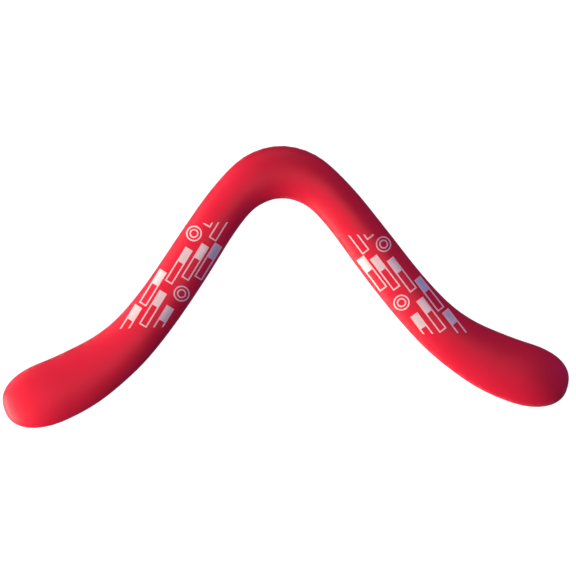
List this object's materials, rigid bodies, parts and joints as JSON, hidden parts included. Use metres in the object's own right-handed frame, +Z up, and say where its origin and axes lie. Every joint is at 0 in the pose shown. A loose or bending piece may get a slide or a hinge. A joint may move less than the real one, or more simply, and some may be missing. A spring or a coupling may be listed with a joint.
{
  "type": "boomerang",
  "caption": "Two-armed V-shaped returning boomerang in soft foam, with a domed top, a flat underside, a stiff inner spine and a printed pattern of bars and rings on each arm.",
  "frame": {"origin": "on the flat underside, at the middle of the blade's bounding box", "axes": "+X from the left tip to the right tip, +Y from the tips towards the elbow, +Z up out of the domed side"},
  "size_m": [0.3306, 0.1588, 0.0125],
  "materials": {
    "red_foam": "matte, soft self-skinned foam",
    "core_plastic": "satin, natural polypropylene",
    "white_ink": "satin printed ink",
    "silver_ink": "satin metallic printed ink"
  },
  "bodies": {
    "root": {"upper_foam": "red_foam", "lower_foam": "red_foam", "core_spine": "core_plastic", "left_bar_outline_1": "white_ink", "left_bar_outline_2": "white_ink", "left_bar_outline_3": "white_ink", "left_bar_outline_4": "white_ink", "left_bar_outline_5": "white_ink", "left_bar_outline_6": "white_ink", "left_bar_outline_7": "white_ink", "left_open_bar": "white_ink", "left_corner_bar": "white_ink", "left_target_1_outer_ring": "white_ink", "left_target_1_inner_ring": "white_ink", "left_target_2_outer_ring": "white_ink", "left_target_2_inner_ring": "white_ink", "right_bar_outline_1": "white_ink", "right_bar_outline_2": "white_ink", "right_bar_outline_3": "white_ink", "right_bar_outline_4": "white_ink", "right_bar_outline_5": "white_ink", "right_bar_outline_6": "white_ink", "right_bar_outline_7": "white_ink", "right_open_bar": "white_ink", "right_corner_bar": "white_ink", "right_target_1_outer_ring": "white_ink", "right_target_1_inner_ring": "white_ink", "right_target_2_outer_ring": "white_ink", "right_target_2_inner_ring": "white_ink", "left_bar_fill_1": "silver_ink", "left_bar_fill_2": "silver_ink", "left_bar_fill_3": "silver_ink", "left_bar_fill_4": "silver_ink", "left_bar_fill_5": "silver_ink", "left_bar_fill_6": "silver_ink", "left_bar_fill_7": "silver_ink", "right_bar_fill_1": "silver_ink", "right_bar_fill_2": "silver_ink", "right_bar_fill_3": "silver_ink", "right_bar_fill_4": "silver_ink", "right_bar_fill_5": "silver_ink", "right_bar_fill_6": "silver_ink", "right_bar_fill_7": "silver_ink"}
  },
  "joints": []
}
